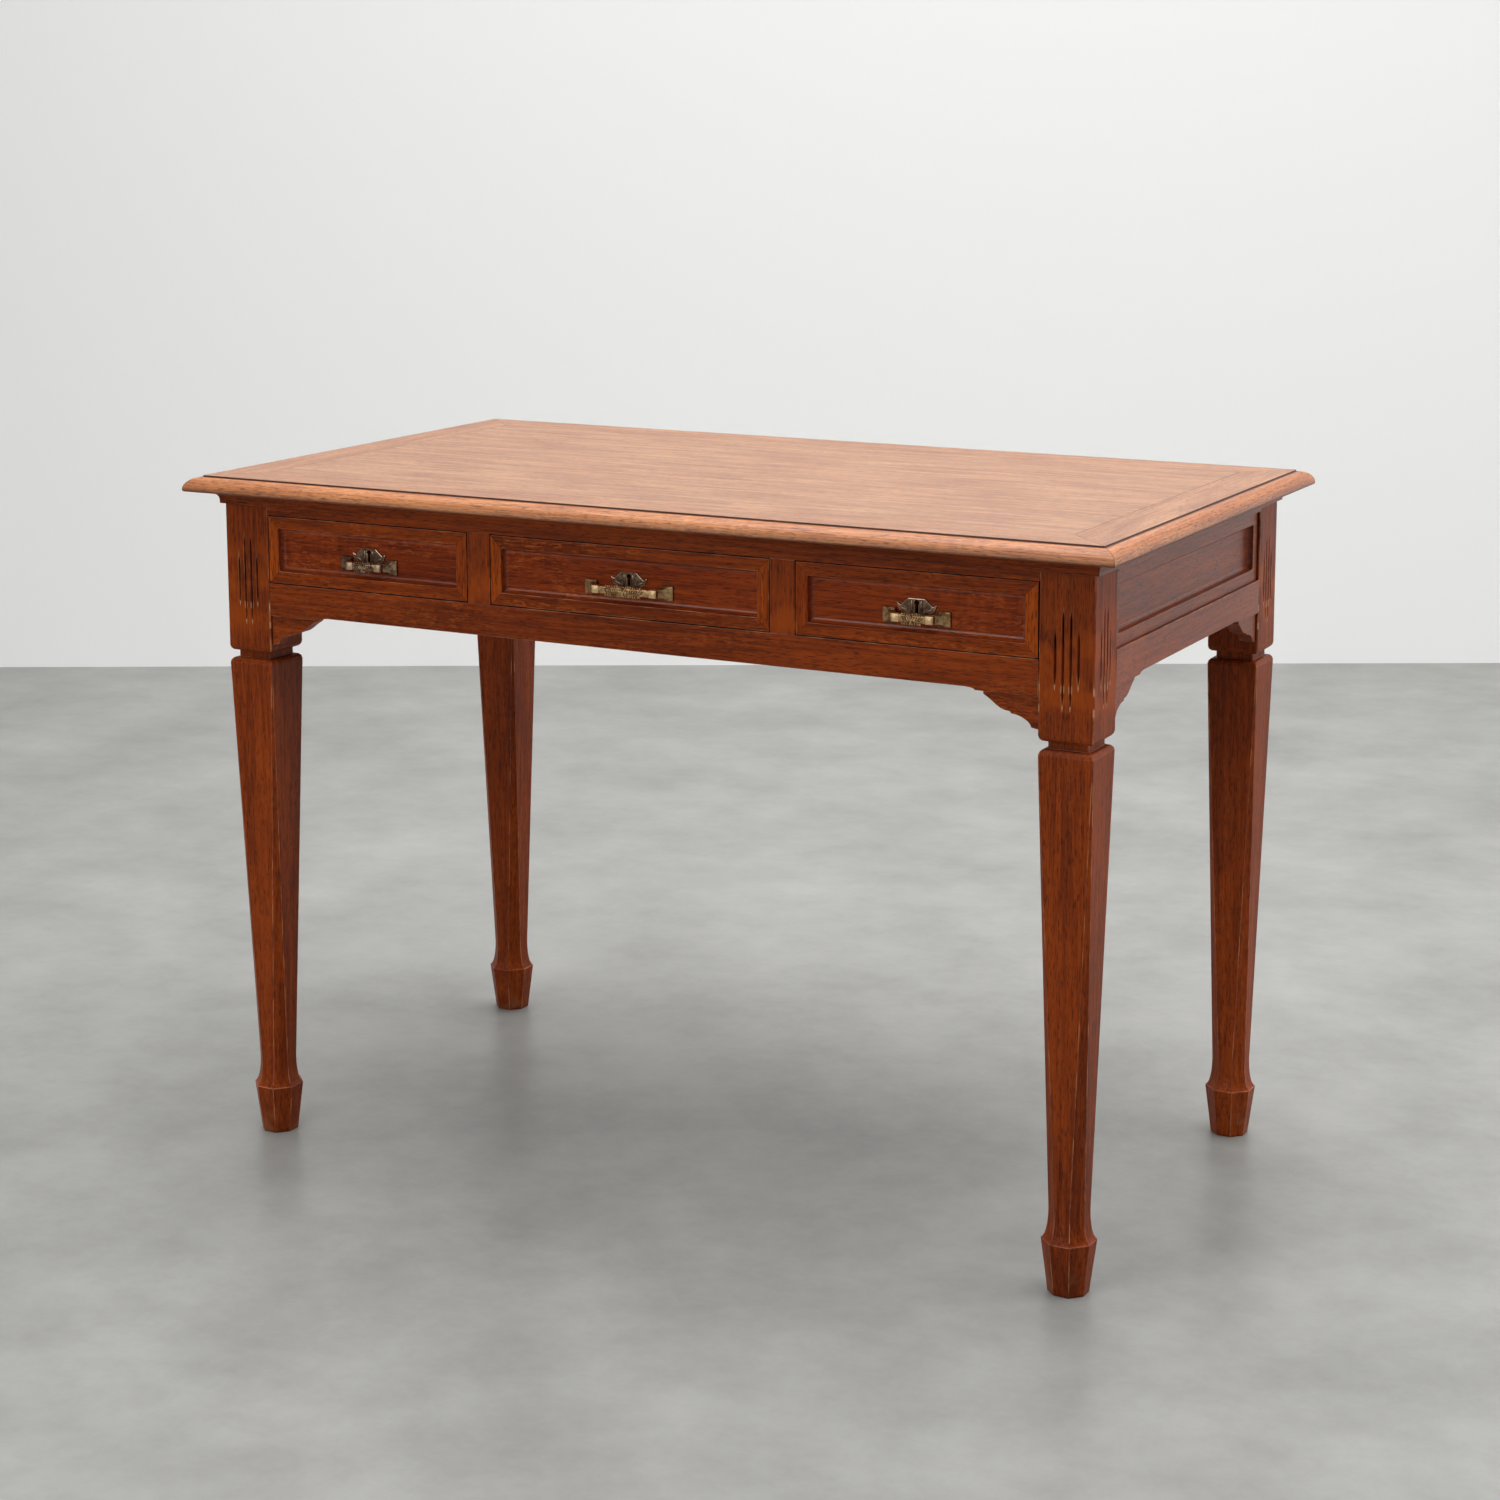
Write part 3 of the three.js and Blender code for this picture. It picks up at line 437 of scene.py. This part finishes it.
SIDES = ("left", "right")
dress([f"leg_{end}_{side}" for end in ("front", "back") for side in SIDES], stained["Z"], 0.5 * MM)
dress([f"divider_{side}" for side in SIDES], stained["Z"], 0.4 * MM)
dress(["front_top_rail", "front_lower_rail", "back_panel"], stained["X"], 0.6 * MM)
dress([f"bracket_front_{side}" for side in SIDES], stained["X"], 0.5 * MM)
dress([f"side_lower_rail_{side}" for side in SIDES], stained["Y"], 0.6 * MM)
dress([f"side_panel_{side}" for side in SIDES], stained["Y"], 0.4 * MM)
for end in ("front", "back"):
    dress([f"bracket_side_{end}_{side}" for side in SIDES], stained["Y"], 0.5 * MM)


# ---- Top
# An oak field of glued boards inside four mitred border boards. Their upper side is a pinkish tan,
# partly faded by light and partly painted sheen; the thumbnail nosing is a brighter orange, partly
# painted light, with a painted shade line in its quirk and painted shade along its underside.

TOP_HALF_LENGTH = cad_box[1].x
TOP_HALF_DEPTH = cad_box[1].y
BORDER_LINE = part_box("top_border_right")[0].x
TOP_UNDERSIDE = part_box("top_field")[0].z
CRACK_PATCH = 17 * MM
CRACK_DIRT = "#3f1d10"
NOSING_WIDTH = 16.4 * MM
QUIRK = (14.0 * MM, 15.6 * MM, 17.4 * MM, 18.2 * MM)
# Painted shade for the quirk.
QUIRK_SHADE = "#3a170a"
# Painted shade for the underside of the top.
UNDERSIDE_SHADE = "#4a1c0c"
# Settings for the pale top, whose tones are partly faded oak and partly painted sheen.
FADED_WITH_PAINTED_SHEEN = {
    "pore": "#4d2b1c",
    "fleck": "#cf9c70",
    "broad": 0.6,
    "drift": (130, 13),
    "gloss": 0.5,
    "rough": 0.4,
    "seed": 3.7,
}

# The field's pale, pinkish tones are partly faded oak and partly painted sheen.
field = oak("faded, sheen-painted oak, field", "X", "#845138", "#b5865f", **FADED_WITH_PAINTED_SHEEN, figure=0.16)
tree = field.node_tree
from_middle = distance(tree, place(tree)["X"], 0.0)
to_joint = add_node(tree, "Math", {0: BORDER_LINE, 1: from_middle}, operation="SUBTRACT")
joint = soft_step(tree, to_joint, 1.8 * MM, 1.0 * MM)
open_joint = part_of(tree, joint, patches(tree, CRACK_PATCH, 2.0, 0.3, 0.6))
repaint(field, part_of(tree, open_joint, 0.7), CRACK_DIRT)
dress(["top_field"], [field], 0.12 * MM)

for side, grain in (("front", "X"), ("back", "X"), ("left", "Y"), ("right", "Y")):
    # The borders' pale tones are partly faded oak and partly painted sheen.
    border = oak(f"faded, sheen-painted oak, {side} border", grain, "#865236", "#b07d57", **FADED_WITH_PAINTED_SHEEN, figure=0.12)
    tree = border.node_tree
    x, y, z = place(tree)
    to_end = {0: TOP_HALF_LENGTH, 1: distance(tree, x, 0.0)}
    to_end = add_node(tree, "Math", to_end, operation="SUBTRACT")
    to_long_edge = {0: TOP_HALF_DEPTH, 1: distance(tree, y, 0.0)}
    to_long_edge = add_node(tree, "Math", to_long_edge, operation="SUBTRACT")
    inward = add_node(tree, "Math", {0: to_end, 1: to_long_edge}, operation="MINIMUM")
    # The nosing is painted a brighter orange, partly its own colour and partly painted light.
    nosing = oak_layers(
        tree, grain, "#985530", "#c98451", "#d9975f", seed=4.1, figure=0.3, broad=0.3
    )[0]
    repaint(border, soft_step(tree, inward, NOSING_WIDTH + 1.0 * MM, NOSING_WIDTH), nosing)
    # Painted shade: a dark line along the quirk.
    quirk = between(tree, inward, *QUIRK)
    repaint(border, part_of(tree, quirk, 0.8), QUIRK_SHADE)
    # Painted shade darkens the lower edge and underside of the border.
    under = soft_step(tree, z, TOP_UNDERSIDE + 4.5 * MM, TOP_UNDERSIDE - 0.5 * MM)
    repaint(border, part_of(tree, under, 0.8), UNDERSIDE_SHADE)
    dress([f"top_border_{side}"], [border], 0.12 * MM)
    dress([f"cove_moulding_{side}"], stained[grain], 0.2 * MM)


# ---- Drawers
# Each has a framed front with a sunk field, sides dovetailed into it, a back and a thin bottom. Only
# the fronts are stained; the rest is bare oak, gone grey brown, and runs on plain oak runners.

DRAWERS = ("left", "centre", "right")
STRIP_WIDTH = 13.6 * MM
MOULD_WIDTH = 5.0 * MM
MOULD_WAX = 0.7
MITRE_LINE = 0.5 * MM
BARE_TONES = {"deep": "#7d5a36", "pale": "#b08c5c", "pore": "#4a3018", "rough": 0.65}

bare = {}
for grain in "XY":
    bare[grain] = [
        oak(f"bare oak, {grain}", grain, **BARE_TONES, seed=5.2),
        oak(f"handled oak, {grain}", grain, **BARE_TONES, seed=5.9),
    ]
    # Painted shade darkens the corners inside the drawers.
    paint_corner_shade(bare[grain][0], 10 * MM)

for drawer in DRAWERS:
    low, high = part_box(f"drawer_{drawer}_front")
    middle = (low + high) / 2
    half = (high - low) / 2
    shift = middle.x / MM
    front = oak(
        f"stained oak, {drawer} front", "X", "#74280a", "#b14a12", seed=6.1 + shift, figure=0.5
    )
    tree = front.node_tree
    x, y, z = place(tree)
    from_end = {0: half.x, 1: distance(tree, x, middle.x)}
    from_end = add_node(tree, "Math", from_end, operation="SUBTRACT")
    from_edge = {0: half.z, 1: distance(tree, z, middle.z)}
    from_edge = add_node(tree, "Math", from_edge, operation="SUBTRACT")
    rim = add_node(tree, "Math", {0: from_end, 1: from_edge}, operation="MINIMUM")

    # The strips of the frame: two run with the field's grain and two stand across it, mitred.
    strip = soft_step(tree, rim, STRIP_WIDTH + 0.5 * MM, STRIP_WIDTH)
    level_strip = oak_layers(
        tree, "X", "#6c2808", "#a8480e", "#cf6c28", seed=7.3 + shift, figure=0.45
    )[0]
    end_strip = oak_layers(tree, "Z", "#903706", "#c85c0c", "#cf7430", seed=8.9 + shift)[0]
    past_mitre = add_node(tree, "Math", {0: from_edge, 1: from_end}, operation="SUBTRACT")
    at_end = soft_step(tree, past_mitre, -0.2 * MM, 0.2 * MM)
    repaint(front, strip, cover(tree, at_end, level_strip, end_strip))
    mitre = soft_step(tree, distance(tree, past_mitre, 0.0), MITRE_LINE, 0.2 * MM)
    repaint(front, part_of(tree, part_of(tree, mitre, strip), 0.55), SHADE_AND_DIRT)
    # Painted shade darkens the corners and joints of the front.
    paint_corner_shade(front, 5 * MM)

    # Wax has built up in the moulding round the field, and shines.
    mould_end = STRIP_WIDTH + MOULD_WIDTH
    mould = between(
        tree, rim, STRIP_WIDTH, STRIP_WIDTH + 0.5 * MM, mould_end - 0.4 * MM, mould_end
    )
    surface = tree.nodes["Principled BSDF"]
    wire(surface, {"Coat Weight": part_of(tree, mould, MOULD_WAX), "Coat Roughness": 0.24})

    dress([f"drawer_{drawer}_front"], [front, stained["X"][1]], 0.65 * MM)
    dress([f"drawer_{drawer}_side_{side}" for side in SIDES], bare["Y"], 0.4 * MM)
    dress([f"drawer_{drawer}_back", f"drawer_{drawer}_bottom"], bare["X"], 0.3 * MM)
for kind in ("middle_runner", "outer_runner"):
    dress([f"{kind}_{side}" for side in SIDES], bare["Y"], 0.5 * MM)


# ---- Brass and bronze
# Sand-cast yellow brass for the pulls and a browner bronze for the key plates. Both are dull and dark
# in their hollows, mottled on the flat, and rubbed bright on edges where fingers reach.

PATINA = 4 * MM
RUBBED_REACH = 0.9 * MM
HOLLOW_REACH = 1.1 * MM


def cast_metal(name, hollow, body, rubbed, rough):
    """Old cast metal, from its colour in the hollows to its colour on rubbed edges."""
    material, tree, surface = new_material(name, {"Metallic": 1.0})
    patina = part_of(tree, patches(tree, PATINA, 4.0, 0.35, 0.65), 0.55)
    edge = add_node(tree, "AmbientOcclusion", {"Distance": RUBBED_REACH}, samples=8, inside=True)
    edge = soft_step(tree, edge.outputs["AO"], 0.75, 0.35)
    wire(surface, {"Base Color": cover(tree, edge, cover(tree, patina, body, rubbed), rubbed)})
    corner = add_node(tree, "AmbientOcclusion", {"Distance": HOLLOW_REACH}, samples=8)
    dull = soft_step(tree, corner.outputs["AO"], 0.62, 0.25)
    repaint(material, dull, hollow)
    polish = {"Value": dull, "To Min": rough, "To Max": 0.75}
    wire(surface, {"Roughness": add_node(tree, "MapRange", polish)})
    return material


brass = cast_metal("aged cast brass", "#4d3420", "#9e7548", "#e8c698", 0.46)
brown_brass = cast_metal("browned cast brass", "#33251a", "#725740", "#d2b190", 0.46)
bronze = cast_metal("aged bronze", "#1f1813", "#604a3b", "#9a816b", 0.36)
rubbed_bronze = cast_metal("rubbed bronze", "#3a2f22", "#b8a084", "#e2d2ba", 0.3)
lock_brass = cast_metal("lock brass", "#2a1e0c", "#8a7446", "#b7a06a", 0.4)


# ---- Pulls
# One brass casting each: two foot plates, square posts that flare towards them, and a flat bar with
# an end block each side of a beaded ornament. The plates are held by screws from inside the front.

PLATE = Vector((14, 2, 16)) * MM
POST_REACH = 6.6 * MM
POST_LEAN = 10 * MM
POST_STEPS = ((0.12, 0.86), (0.3, 0.7), (0.55, 0.58), (0.8, 0.53), (1.0, 0.52))
FOOT_TRIM = 0.35 * MM
BAR_STANDOFF = 10.5 * MM
BAR_DEPTH = 5 * MM
BAR_HEIGHT = 7.6 * MM
BAR_SHORTER = 8 * MM
BOSS = Vector((0, 6, 9)) * MM
END_BLOCK = Vector((9, 5.8, 8.4)) * MM
END_BLOCK_INSET = 11 * MM
END_PANEL = Vector((5, 0.8, 4.4)) * MM
ORNAMENT_HALF_LENGTH = {"left": 10.5 * MM, "centre": 22 * MM, "right": 10.5 * MM}
BEAD = 1.45 * MM
BEAD_PITCH = 2.75 * MM
BEAD_ROW = 4.8 * MM
BEAD_OUT = 3.6 * MM
LEAF_OUT = 3.7 * MM
SHELL_OUT = 4.0 * MM
SHELL_RADIUS = 2.8 * MM
LEAF = Vector((1.2, 1.6, 3.1)) * MM
SHELL_RIB = Vector((1.1, 1.9, 2.9)) * MM
SHELL_RIBS = 5
SHELL_FAN = math.radians(35)
SHELL_KNOB = Vector((2.1, 1.9, 1.9)) * MM
grains = random.Random(7)


def join(mesh, part):
    """Adds a finished part to a mesh."""
    data = bpy.data.meshes.new("part")
    part.to_mesh(data)
    part.free()
    mesh.from_mesh(data)
    bpy.data.meshes.remove(data)


def trim(part, width):
    """Breaks every edge of a part."""
    bmesh.ops.bevel(
        part,
        geom=part.edges,
        offset=width,
        segments=2,
        profile=0.5,
        affect="EDGES",
        material=-1,
        clamp_overlap=True,
    )


def add_block(mesh, size, middle, width):
    """A block with trimmed edges."""
    block = bmesh.new()
    bmesh.ops.create_cube(block, size=1)
    bmesh.ops.scale(block, verts=block.verts, vec=size)
    bmesh.ops.translate(block, verts=block.verts, vec=middle)
    trim(block, width)
    join(mesh, block)


def add_bead(mesh, middle, size, turn=0.0):
    """A bead, squeezed to a size and turned in the plane of the front."""
    matrix = Matrix.Translation(middle) @ Matrix.Rotation(turn, 4, "Y") @ Matrix.Diagonal((*size, 1))
    bmesh.ops.create_icosphere(mesh, subdivisions=2, radius=1, matrix=matrix)


def add_foot(mesh, middle, way):
    """A foot plate, with the post that tapers away from it and leans to the middle of the pull."""
    foot = bmesh.new()
    bmesh.ops.create_cube(foot, size=1)
    bmesh.ops.scale(foot, verts=foot.verts, vec=PLATE)
    bmesh.ops.translate(foot, verts=foot.verts, vec=middle)
    faces = [face for face in foot.faces if face.normal.y < -0.5]
    last_reach, last_share = 0.0, 1.0
    for reach, share in POST_STEPS:
        grown = bmesh.ops.extrude_face_region(foot, geom=faces)
        bmesh.ops.delete(foot, geom=faces, context="FACES_ONLY")
        faces = [item for item in grown["geom"] if isinstance(item, bmesh.types.BMFace)]
        corners = [item for item in grown["geom"] if isinstance(item, bmesh.types.BMVert)]
        axis_x = middle.x - way * POST_LEAN * last_reach
        bmesh.ops.scale(
            foot,
            verts=corners,
            vec=(share / last_share, 1, share / last_share),
            space=Matrix.Translation((-axis_x, 0, -middle.z)),
        )
        step = reach - last_reach
        rise = (-way * POST_LEAN * step, -POST_REACH * step, 0)
        bmesh.ops.translate(foot, verts=corners, vec=rise)
        last_reach, last_share = reach, share
    trim(foot, FOOT_TRIM)
    join(mesh, foot)


for drawer in DRAWERS:
    low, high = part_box(f"drawer_{drawer}_pull")
    middle = Vector(((low.x + high.x) / 2, high.y, (low.z + high.z) / 2))
    span = (high.x - low.x - PLATE.x) / 2
    ornament = ORNAMENT_HALF_LENGTH[drawer]
    bar = middle - Vector((0, BAR_STANDOFF, 0))
    mesh = bmesh.new()
    for way in (-1, 1):
        add_foot(mesh, middle + Vector((way * span, -PLATE.y / 2, 0)), way)
        end = bar + Vector((way * (span - END_BLOCK_INSET), 0, 0))
        add_block(mesh, END_BLOCK, end, 0.6 * MM)
        add_block(mesh, END_PANEL, end - Vector((0, 3.0 * MM, 0)), 0.3 * MM)
    add_block(mesh, (2 * (span - BAR_SHORTER), BAR_DEPTH, BAR_HEIGHT), bar, 0.7 * MM)
    boss_size = BOSS + Vector((2 * ornament, 0, 0))
    add_block(mesh, boss_size, bar - Vector((0, 0.4 * MM, 0)), 1.4 * MM)

    # Rows of beads above and below slanted leaves, with a small shell in the middle.
    count = round(2 * ornament / BEAD_PITCH)
    for i in range(count):
        along = (i + 0.5 - count / 2) * BEAD_PITCH
        for lift in (-BEAD_ROW, BEAD_ROW):
            spot = bar + Vector((along + grains.uniform(-0.3, 0.3) * MM, -BEAD_OUT, lift))
            add_bead(mesh, spot, (BEAD * grains.uniform(0.8, 1.1), BEAD, BEAD))
        turn = math.radians(grains.uniform(28, 46)) * (1 if along > 0 else -1)
        add_bead(mesh, bar + Vector((along, -LEAF_OUT, 0)), LEAF, turn)
    for i in range(SHELL_RIBS):
        turn = SHELL_FAN * (i - SHELL_RIBS // 2)
        lean = Vector((math.sin(turn), 0, math.cos(turn))) * SHELL_RADIUS
        add_bead(mesh, bar + Vector((0, -SHELL_OUT, -1.6 * MM)) + lean, SHELL_RIB, turn)
    add_bead(mesh, bar + Vector((0, -SHELL_OUT, -3.2 * MM)), SHELL_KNOB)

    metal = brown_brass if drawer == "left" else brass
    pull = new_piece(f"pull_{drawer}", mesh, [metal], smooth=True)
    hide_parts(f"drawer_{drawer}_pull")
    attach(pull, f"drawer_{drawer}")


# ---- Key plates
# Pierced bronze plates with a bevelled edge that handling keeps bright, and a cast relief: a rib each
# side of the keyhole, a round-headed pin beside it and a ridge along each wing.

RIB = Vector((1.9, 1.0, 7.6)) * MM
RIB_OUT = 5.2 * MM
PIN = Vector((1.5, 0.9, 1.5)) * MM
PIN_OUT = 9.8 * MM
PIN_UP = 1.5 * MM
RIDGE = Vector((4.4, 0.7, 1.1)) * MM
RIDGE_OUT = 13.4 * MM
RIDGE_DOWN = 2 * MM
RIDGE_SLOPE = math.radians(-24)
for drawer in DRAWERS:
    dress([f"drawer_{drawer}_escutcheon"], [bronze, rubbed_bronze], 0.75 * MM)
    low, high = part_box(f"drawer_{drawer}_escutcheon")
    face = Vector(((low.x + high.x) / 2, low.y, (low.z + high.z) / 2))
    mesh = bmesh.new()
    for way in (-1, 1):
        add_bead(mesh, face + Vector((way * RIB_OUT, 0, 0)), RIB)
        add_bead(mesh, face + Vector((way * PIN_OUT, 0, PIN_UP)), PIN)
        ridge = face + Vector((way * RIDGE_OUT, 0, -RIDGE_DOWN))
        add_bead(mesh, ridge, RIDGE, way * RIDGE_SLOPE)
    relief = new_piece(f"key_plate_relief_{drawer}", mesh, [bronze], smooth=True)
    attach(relief, f"drawer_{drawer}")


# ---- Locks
# Brass boxes let into the back of each front, held by four slotted screws, with a brass bolt that
# comes up through the top of each. Nobody polishes them, so they have gone brown.

SCREW_RADIUS = 2.6 * MM
SCREW_HEIGHT = 0.8 * MM
SCREW_SLOT = 0.5 * MM
SCREW_INSET = 4.5 * MM
SCREW_TAPER = 0.8
SCREW_SIDES = 28


def add_screw(mesh, middle):
    """The head of a slotted screw, turned to wherever the screwdriver left it."""
    turn = Matrix.Rotation(grains.uniform(0, math.pi), 4, "Z")
    spot = Matrix.Translation(middle + Vector((0, SCREW_HEIGHT / 4, 0)))
    spot = spot @ Matrix.Rotation(math.radians(-90), 4, "X") @ turn
    bmesh.ops.create_cone(
        mesh,
        cap_ends=True,
        segments=SCREW_SIDES,
        radius1=SCREW_RADIUS,
        radius2=SCREW_RADIUS,
        depth=SCREW_HEIGHT / 2,
        matrix=spot,
    )
    for way in (-1, 1):
        half = bmesh.new()
        bmesh.ops.create_cone(
            half,
            cap_ends=True,
            segments=SCREW_SIDES,
            radius1=SCREW_RADIUS,
            radius2=SCREW_RADIUS * SCREW_TAPER,
            depth=SCREW_HEIGHT / 2,
        )
        cut = bmesh.ops.bisect_plane(
            half,
            geom=[*half.verts, *half.edges, *half.faces],
            plane_co=(way * SCREW_SLOT / 2, 0, 0),
            plane_no=(way, 0, 0),
            clear_inner=True,
        )
        rim = [item for item in cut["geom_cut"] if isinstance(item, bmesh.types.BMEdge)]
        bmesh.ops.holes_fill(half, edges=rim)
        lifted = spot @ Matrix.Translation((0, 0, SCREW_HEIGHT / 2))
        bmesh.ops.transform(half, verts=half.verts, matrix=lifted)
        join(mesh, half)


for drawer in DRAWERS:
    dress([f"drawer_{drawer}_lock", f"drawer_{drawer}_bolt"], [lock_brass], 0.3 * MM)
    low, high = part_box(f"drawer_{drawer}_lock")
    mesh = bmesh.new()
    for x in (low.x + SCREW_INSET, high.x - SCREW_INSET):
        for z in (low.z + SCREW_INSET, high.z - SCREW_INSET):
            add_screw(mesh, Vector((x, high.y, z)))
    screws = new_piece(f"lock_screws_{drawer}", mesh, [lock_brass])
    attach(screws, f"drawer_{drawer}")
